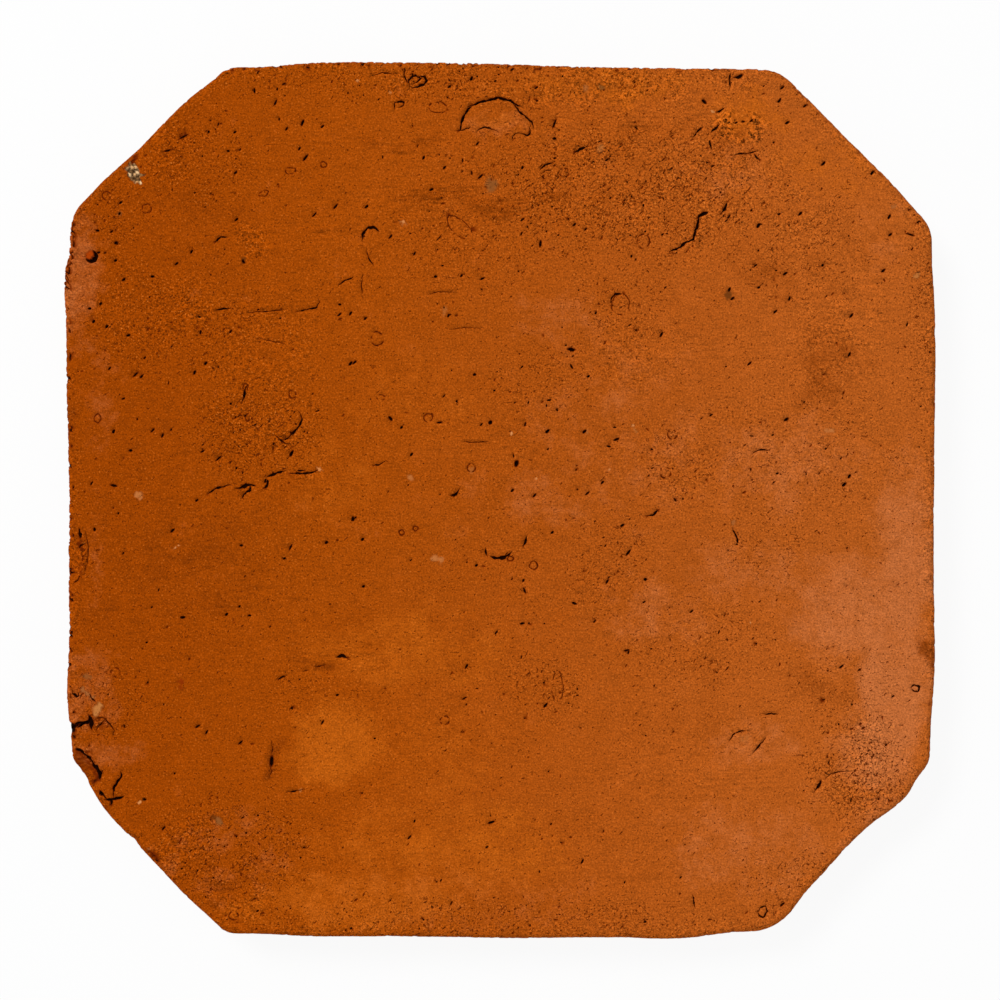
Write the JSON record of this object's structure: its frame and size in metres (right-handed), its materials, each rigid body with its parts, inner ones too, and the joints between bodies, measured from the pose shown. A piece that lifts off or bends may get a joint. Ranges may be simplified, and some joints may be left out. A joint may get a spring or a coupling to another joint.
{
  "type": "octagonal terracotta floor tile",
  "caption": "Handmade terracotta floor tile: a square slab with its corners cut off to a long-sided octagon, rubbed arris, sides leaning in to the back.",
  "frame": {"origin": "middle of the tile's back, in the plane that the tile lies on", "axes": "+Z out of the wearing face, +X across the face to the right, +Y up the face as pictured from above"},
  "size_m": [0.3003, 0.3021, 0.025],
  "materials": {
    "terracotta": "matte, unglazed, smoothed by hand and open-pored"
  },
  "bodies": {
    "root": {"terracotta_tile": "terracotta"}
  },
  "joints": []
}
